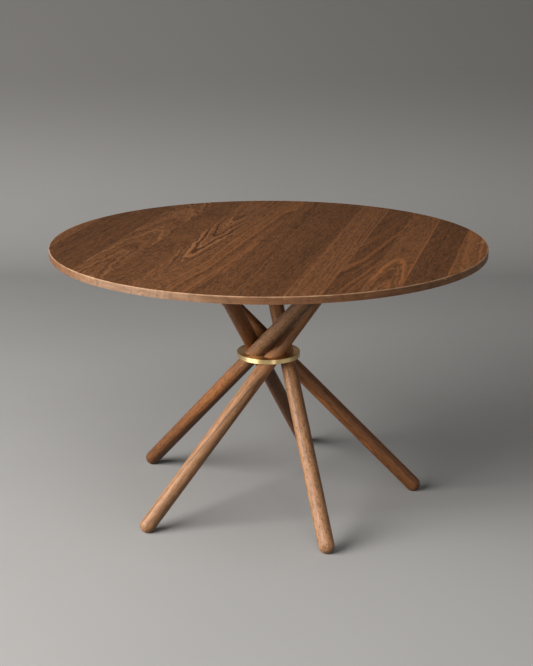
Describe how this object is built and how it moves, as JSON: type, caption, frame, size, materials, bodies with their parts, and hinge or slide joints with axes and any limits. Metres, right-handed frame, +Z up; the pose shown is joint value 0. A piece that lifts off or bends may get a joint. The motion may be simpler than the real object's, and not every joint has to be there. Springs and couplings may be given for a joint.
{
  "type": "round dining table",
  "caption": "Round wooden dining table: a thin plank top on slender round legs that lean past one another and cross at a waist, held by a thick brass ring.",
  "frame": {"origin": "on the floor under the middle of the round top", "axes": "+Z up, the table's height; +Y away from the viewer and +X to the right in the view that the leg and board numbers start from; the boards run 13.5 degrees clockwise of +Y, seen from above"},
  "size_m": [1.2, 1.1999, 0.75],
  "materials": {
    "top_wood": "satin",
    "leg_wood": "satin",
    "collar_brass": "brushed",
    "plate_steel": "matte",
    "fastener_steel": "satin"
  },
  "bodies": {
    "root": {"board_01": "top_wood", "board_02": "top_wood", "board_03": "top_wood", "board_04": "top_wood", "board_05": "top_wood", "board_06": "top_wood", "board_07": "top_wood", "board_08": "top_wood", "board_09": "top_wood", "board_10": "top_wood", "board_11": "top_wood", "board_12": "top_wood", "board_13": "top_wood", "board_14": "top_wood", "waist_collar": "collar_brass", "leg_1": "leg_wood", "leg_2": "leg_wood", "leg_3": "leg_wood", "leg_4": "leg_wood", "leg_5": "leg_wood", "leg_plate_1": "plate_steel", "leg_plate_2": "plate_steel", "leg_plate_3": "plate_steel", "leg_plate_4": "plate_steel", "leg_plate_5": "plate_steel", "leg_studs": "fastener_steel", "plate_screws": "fastener_steel"}
  },
  "joints": []
}
